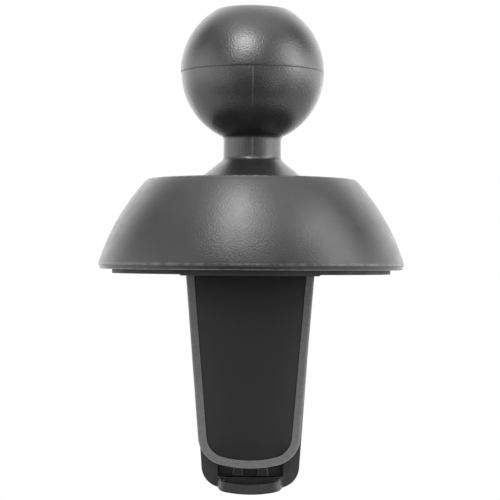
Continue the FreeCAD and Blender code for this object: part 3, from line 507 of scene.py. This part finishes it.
# The posts at the corners of the hook's lip
POST_TOP, POST_FOOT = -48.12, -49.5
POST_RADIUS = 0.36
POST_SIDE = 3.3
POST_DEPTH = -0.72

# The ribs of the rear grip stand this far left and right of the middle
GRIP_RIB_SIDE = 1.5


def ball_shape(r, z, a):
    """The two mould halves: the lower one is a hair smaller and off to the right.

    It has a seam in front and behind."""
    shift = 0.0
    if PARTING > z > SEAM_END:
        shift = MOULD_SHIFT
        off = (math.degrees(a) - SEAM_TURN + 90) % 180 - 90
        width = math.degrees(SEAM_WIDTH / max(r, 1))
        r += SEAM_HEIGHT * math.exp(-((off / width) ** 2))
    return r, z, shift


def ball_stud():
    """The ball with its flat and parting line, the neck, the cone, and the flange with the screw's bore."""
    top, upper, lower = BALL_TOP, UPPER_RADIUS, LOWER_RADIUS
    points = [(0, top), (2.2, top), (2.8, top - 0.004), (3.1, top - 0.015), (3.4, top - 0.038)]
    points += [(3.65, top - 0.075), (3.9, top - 0.135), (4.13, top - 0.205)]
    start = math.degrees(math.asin(top / upper))
    points += arc((0, 0), upper, start - FLAT_ROUNDING, 0.1, 60)[:-1]
    points += [(upper - 0.004, PARTING + 0.03), (upper - 0.014, PARTING + 0.01), (upper - 0.04, PARTING)]
    points += [(lower - 0.02, PARTING - 0.012), (lower - 0.004, PARTING - 0.035)]
    neck_drop = -math.sqrt(lower**2 - FILLET**2)
    end = math.degrees(math.atan2(neck_drop, FILLET))
    points += arc((0, 0), lower, -0.9, end, 54)
    points += [(NECK + 0.09, neck_drop - 0.12), (NECK + 0.02, neck_drop - 0.28), (NECK, neck_drop - 0.5)]
    points += [(NECK, z) for z in np.linspace(neck_drop - 0.8, -10.0, 5)]
    points += [(NECK + 0.012, -10.2), (NECK + 0.05, -10.36), (NECK + 0.13, -10.5), (NECK + 0.26, -10.63)]
    cone_start = (NECK + 0.45, -10.79)
    points += [tuple(Vector(cone_start).lerp(Vector(CONE_FOOT), t)) for t in np.linspace(0, 1, 9)]
    points += rounded([CONE_FOOT, (9.2, -12.95), (9.2, -14), (3.2, -14), (3.2, -15.2)], {1: 0.15})[1:]
    points += [(1.55, -15.2), (1.55, -7.5), (0, -7.5)]
    bm = turned(points, full_turn(200, SEAM_TURN, SEAM_TURN + 180), ball_shape)
    paint(piece("ball_and_neck", bm, "core", "stud_plastic", "ball_stud"), STUD)


def dome_rib(bm, turn):
    """Adds one of the ribs under the deck, its root sunk in the deck and the wall.

    It takes the third material slot."""
    across = Vector((-math.sin(turn), math.cos(turn), 0))
    along = Vector((math.cos(turn), math.sin(turn), 0))
    half, flank = RIB_HALF_WIDTH, RIB_HALF_WIDTH - RIB_ROUNDING
    rings = []
    for side, inset in ((-half, RIB_ROUNDING), (-flank, 0), (flank, 0), (half, RIB_ROUNDING)):
        ring = []
        for r, z in RIB_SECTION:
            height = z + inset if z < RIB_ROOT else z
            ring.append(bm.verts.new(along * (r + inset) + across * side + Vector((0, 0, height))))
        rings.append(ring)
    made = [bm.faces.new(rings[0][::-1]), bm.faces.new(rings[-1])]
    for low, high in zip(rings, rings[1:]):
        for i in range(len(RIB_SECTION)):
            j = (i + 1) % len(RIB_SECTION)
            made.append(bm.faces.new((low[i], low[j], high[j], high[i])))
    for face in made:
        face.material_index = 2


def on_worn_and_highlit_edge(spot):
    """Whether a spot lies on the dome's rim, on the edge of its deck or on the edge of its foot, where
    lighter spots stand partly for rubbing and partly for a painted highlight.
    """
    r = math.hypot(spot.x, spot.y)
    rim = r > 17.9 and -22.97 < spot.z < -22.7
    deck_edge = 12.25 < r < 12.7 and spot.z > -13.0
    foot_edge = r > 17.85 and spot.z < -23.3
    return rim or deck_edge or foot_edge


def dome_shell():
    """The domed nut's shell, a closed ring, with the ribs inside. Its edges take the second slot, with
    lighter spots that are partly rubbing and partly a painted highlight.
    """
    edge = rounded([(HOLE_RADIUS, DECK_TOP), (DECK_RADIUS, DECK_TOP), (12.66, -13.2)], {1: 0.22}, 5)
    points = [(HOLE_RADIUS, -12.95), (9.62, DECK_TOP), (11, DECK_TOP)] + edge[1:-1]
    points += arc_through((DECK_RADIUS, DECK_TOP), (RIM_RADIUS, RIM_HEIGHT), OUTER_ARC, 60)[3:-1]
    points += [(18.13, -22.82), (RIM_RADIUS, -22.88), (18.13, -22.94), (18.06, -22.97), (18.02, -23.02)]
    points += [(18.0, -23.1), (17.97, -23.28), (17.93, -23.38), (17.83, -23.44), (17.6, -23.45)]
    points += [(16.95, -23.45), (16.86, -23.4), (16.85, RIM_HEIGHT)]
    points += arc_through((12.47, DECK_UNDER), (16.85, RIM_HEIGHT), INNER_ARC, 30)[::-1][1:]
    points += [(HOLE_RADIUS, DECK_UNDER)]
    bm = turned(points, full_turn(240))
    for face in bm.faces:
        if on_worn_and_highlit_edge(face.calc_center_median()):
            face.material_index = 1
    for k in range(RIB_COUNT):
        dome_rib(bm, math.radians(360 / RIB_COUNT * k))
    paint(piece("dome", bm, "dome_nut", "dome_plastic", "dome_shell"), DOME, DOME_EDGE, INNER)


def hook_posts():
    """The rounded corner posts at the ends of the hook's lip."""
    bm = bmesh.new()
    profile = [(0, POST_TOP)] + arc((0, POST_TOP - POST_RADIUS), POST_RADIUS, 84, 0, 8)
    profile += [(POST_RADIUS + 0.04, POST_FOOT), (0, POST_FOOT)]
    for x in (-POST_SIDE, POST_SIDE):
        post = turned(profile, full_turn(28))
        bmesh.ops.translate(post, vec=(x, POST_DEPTH, 0), verts=post.verts)
        mesh = bpy.data.meshes.new("post")
        post.to_mesh(mesh)
        post.free()
        bm.from_mesh(mesh)
        bpy.data.meshes.remove(mesh)
    paint(piece("hook_corner_posts", bm, "core", "jaw_plastic"), HOOK)


def rear_grip():
    """The soft insert in the rear jaw's pocket, with two ribs that flare at the foot."""
    bm = bmesh.new()
    base = [(-3.85, -48.25), (3.85, -48.25), (3.85, -26.05), (-3.85, -26.05)]
    raised(bm, base, back=2.3, front=1.85, radius=0.04)
    rib = [(-0.7, -48.15), (0.7, -48.15), (0.5, -46.95), (0.5, -27), (-0.5, -27), (-0.5, -46.95)]
    for middle in (-GRIP_RIB_SIDE, GRIP_RIB_SIDE):
        raised(bm, [(middle + x, z) for x, z in rib], back=1.87, front=1.25, radius=0.11)
    paint(piece("rear_grip_ribs", bm, "core", "soft_grip", "rear_jaw_grip"), GRIP, GRIP_EDGE)


ball_stud()
dome_shell()
rear_grip()
hook_posts()
paint(from_cad("front_jaw_blade", "front_jaw", "front_arm", "jaw_plastic", width=0.09), JAW, JAW_EDGE)
paint(
    from_cad("front_jaw_inset", "front_jaw_panel", "front_arm", "panel_plastic", width=0.05, segments=2),
    PANEL, PANEL_EDGE,
)
paint(from_cad("rear_jaw_hook", "rear_jaw", "core", "jaw_plastic", width=0.10), HOOK, HOOK_EDGE)
paint(from_cad("front_grip_tread", "front_jaw_grip", "front_arm", "soft_grip", width=0.08), GRIP, GRIP_EDGE)
paint(from_cad("vent_pad", "rubber_pad", "pressure_plate", "pad_rubber", width=0.07), RUBBER, RUBBER)
repaint(["threaded_barrel", "thread_sleeve", "pad_carrier", "pad_plate"], INNER)
repaint(["thrust_washer"], BEARING)
repaint(
    [
        "stud_screw", "jaw_pivot_pin", "rear_jaw_pin_upper", "rear_jaw_pin_lower",
        "jaw_spring", "sleeve_screws", "plate_screws", "retaining_ring",
    ],
    STEEL,
)


# Studio

# The floor, in metres
FLOOR_PLACE = (0, 0.19, -0.12)
FLOOR_HALF_SIZE = 0.5
FLOOR_SCALE = (2.0, 0.57, 1)
FLOOR_GREYS = (0.80, 0.84)
FLOOR_NOISE_SCALE = 6
FLOOR_ROUGHNESS = 0.85

# The world's panels: the brightness, and for each limit an axis of the direction and where it fades in
PANELS = {
    "behind": (2.15, [("Y", 0.25, 0.75)]),
    "right": (3.4, [("X", 0.75, 0.97), ("Z", -0.6, -0.1), ("Z", 0.6, 0.1)]),
    "left": (1.9, [("X", -0.75, -0.97), ("Z", -0.6, -0.1), ("Z", 0.6, 0.1)]),
    "front": (0.75, [("Y", -0.3, -0.8), ("Z", -0.4, -0.05), ("Z", 0.4, 0.1)]),
    "front_high": (0.55, [("Y", 0.3, -0.2), ("Z", 0.1, 0.5)]),
    "top": (1.2, [("Z", 0.6, 0.95)]),
    "front_low": (0.18, [("Y", 0.3, -0.3), ("Z", -0.1, -0.5)]),
}

# The lamps: the place, the spot that the lamp looks at, the width, the height and the radiance
LAMPS = {
    "key_near": ((-6, -27, 19), (0, -10, -8), 16, 12, 3.4),
    "key_low": ((-12, -40, 14), (0, -12, -14), 16, 16, 1.7),
    "key_middle": ((-7, -41, 35), (0, -8, -6), 14, 14, 4.6),
    "key_high": ((-8, -26, 33), (0, -10, -8), 24, 18, 1.2),
    "key_front": ((-8, -58, 43), (0, -5, 0), 50, 40, 3.3),
    "window": ((30, -34, 14), (0, 0, 3), 14, 16, 1.5),
    "window_high": ((36, -26, 24), (0, 0, 3), 18, 18, 0.4),
    "right": ((59, -25, 21), (0, 0, -4), 40, 44, 3.3),
    "left_near": ((-34, -40, -2), (0, 0, -5), 12, 16, 0.75),
    "left": ((-60, -45, 0), (0, 0, -10), 40, 60, 0.55),
    "left_high": ((-56, -10, 10), (0, 0, -10), 30, 50, 0.5),
    "low_right": ((90, -110, -40), (0, -10, -36), 60, 60, 1.4),
    "low_left": ((-90, -110, -40), (0, -10, -36), 60, 60, 0.7),
}


def pale_floor():
    """A pale grey floor under the object."""
    bm = bmesh.new()
    bmesh.ops.create_grid(bm, x_segments=8, y_segments=8, size=FLOOR_HALF_SIZE)
    mesh = bpy.data.meshes.new("studio_floor")
    bm.to_mesh(mesh)
    bm.free()
    floor = bpy.data.objects.new("studio_floor", mesh)
    floor.location = FLOOR_PLACE
    floor.scale = FLOOR_SCALE
    bpy.context.scene.collection.objects.link(floor)
    mat = bpy.data.materials.new("floor_white")
    mat.use_nodes = True
    tree = mat.node_tree
    shader = tree.nodes["Principled BSDF"]
    clouds = tree.nodes.new("ShaderNodeTexNoise")
    clouds.inputs["Scale"].default_value = FLOOR_NOISE_SCALE
    ramp = tree.nodes.new("ShaderNodeValToRGB")
    for end, grey in zip(ramp.color_ramp.elements, FLOOR_GREYS):
        end.color = (grey, grey, grey, 1)
    link(tree, clouds, "Fac", ramp, "Fac")
    link(tree, ramp, "Color", shader, "Base Color")
    shader.inputs["Roughness"].default_value = FLOOR_ROUGHNESS
    mesh.materials.append(mat)


def studio_world(panels):
    """White for the camera. For light and reflections, broad soft panels round the object."""
    world = bpy.data.worlds.new("studio")
    bpy.context.scene.world = world
    world.use_nodes = True
    tree = world.node_tree
    room = tree.nodes["Background"]
    place = tree.nodes.new("ShaderNodeTexCoord")
    parts = tree.nodes.new("ShaderNodeSeparateXYZ")
    link(tree, place, "Generated", parts, "Vector")
    total = None
    for brightness, limits in panels.values():
        panel = None
        for axis, start, end in limits:
            fade = ranged(tree, parts, axis, start, end, 0, brightness if panel is None else 1)
            fade.interpolation_type = "SMOOTHSTEP"
            panel = fade if panel is None else combined(tree, "MULTIPLY", panel, fade)
        total = panel if total is None else combined(tree, "ADD", total, panel)
    link(tree, total, 0, room, "Color")
    room.inputs["Strength"].default_value = 1.0
    white = tree.nodes.new("ShaderNodeBackground")
    white.inputs["Color"].default_value = (1, 1, 1, 1)
    white.inputs["Strength"].default_value = 1.0
    rays = tree.nodes.new("ShaderNodeLightPath")
    choose = tree.nodes.new("ShaderNodeMixShader")
    link(tree, rays, "Is Camera Ray", choose, 0)
    link(tree, room, 0, choose, 1)
    link(tree, white, 0, choose, 2)
    link(tree, choose, 0, tree.nodes["World Output"], "Surface")


def softbox(name, place, aim, width, height, radiance):
    """An area lamp that stands at place and looks at aim. radiance is how bright its face is."""
    lamp = bpy.data.lights.new(name, "AREA")
    lamp.shape = "RECTANGLE"
    lamp.size, lamp.size_y = width * MM, height * MM
    lamp.energy = radiance * lamp.size * lamp.size_y * math.pi
    obj = bpy.data.objects.new(name, lamp)
    obj.location = Vector(place) * MM
    obj.rotation_euler = (Vector(aim) - Vector(place)).to_track_quat("-Z", "Y").to_euler()
    obj.visible_camera = False
    bpy.context.scene.collection.objects.link(obj)


def camera():
    """The camera of the main view."""
    data = bpy.data.cameras.new("camera")
    data.sensor_width = SENSOR_WIDTH
    data.lens = FOCAL_PIXELS / PICTURE_PIXELS * SENSOR_WIDTH
    data.clip_start, data.clip_end = CLIP_METRES
    obj = bpy.data.objects.new("camera", data)
    yaw = math.radians(VIEW_YAW)
    place = Vector((VIEW_DISTANCE * math.sin(yaw), -VIEW_DISTANCE * math.cos(yaw), VIEW_HEIGHT)) * MM
    aim = Vector(VIEW_AIM) * MM
    roll = Matrix.Rotation(math.radians(VIEW_ROLL), 3, "Z")
    turn = (aim - place).to_track_quat("-Z", "Y").to_matrix() @ roll
    obj.location = place
    obj.rotation_euler = turn.to_euler()
    bpy.context.scene.collection.objects.link(obj)
    bpy.context.scene.camera = obj


pale_floor()
studio_world(PANELS)
for lamp_name, lamp_values in LAMPS.items():
    softbox(lamp_name, *lamp_values)
camera()
bpy.context.scene.view_settings.view_transform = "Standard"
